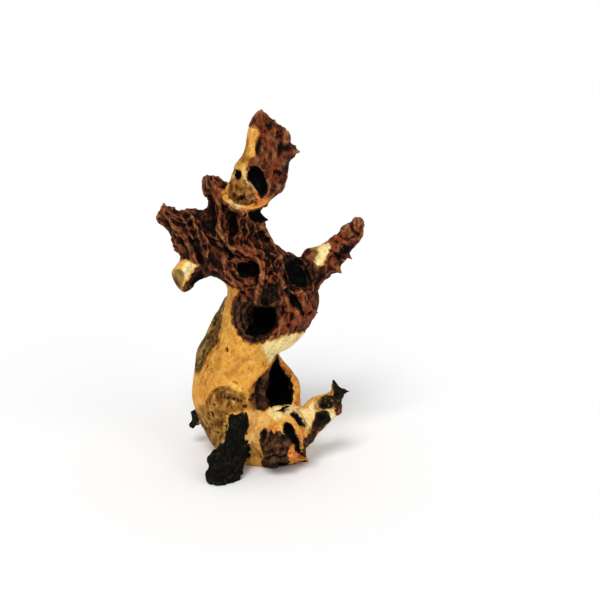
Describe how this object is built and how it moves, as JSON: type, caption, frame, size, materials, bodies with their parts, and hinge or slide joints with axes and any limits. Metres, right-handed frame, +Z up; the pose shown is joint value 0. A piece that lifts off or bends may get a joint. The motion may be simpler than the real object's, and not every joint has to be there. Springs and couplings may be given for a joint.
{
  "type": "mopani root",
  "caption": "Gnarled piece of hollow driftwood root standing on its feet, golden sapwood below, a dark ridged head with a knot hole, and splayed broken limbs.",
  "frame": {"origin": "on the floor, under the middle of the bounding box", "axes": "+Z up the root from its feet to its tip, front with the knot hole towards -Y, the bare side limb towards +X"},
  "size_m": [0.1658, 0.1064, 0.2971],
  "materials": {
    "mopani_wood": "bare weathered wood, sand-blasted golden sapwood over rough dark heartwood"
  },
  "bodies": {
    "root": {"mopani_root": "mopani_wood"}
  },
  "joints": []
}
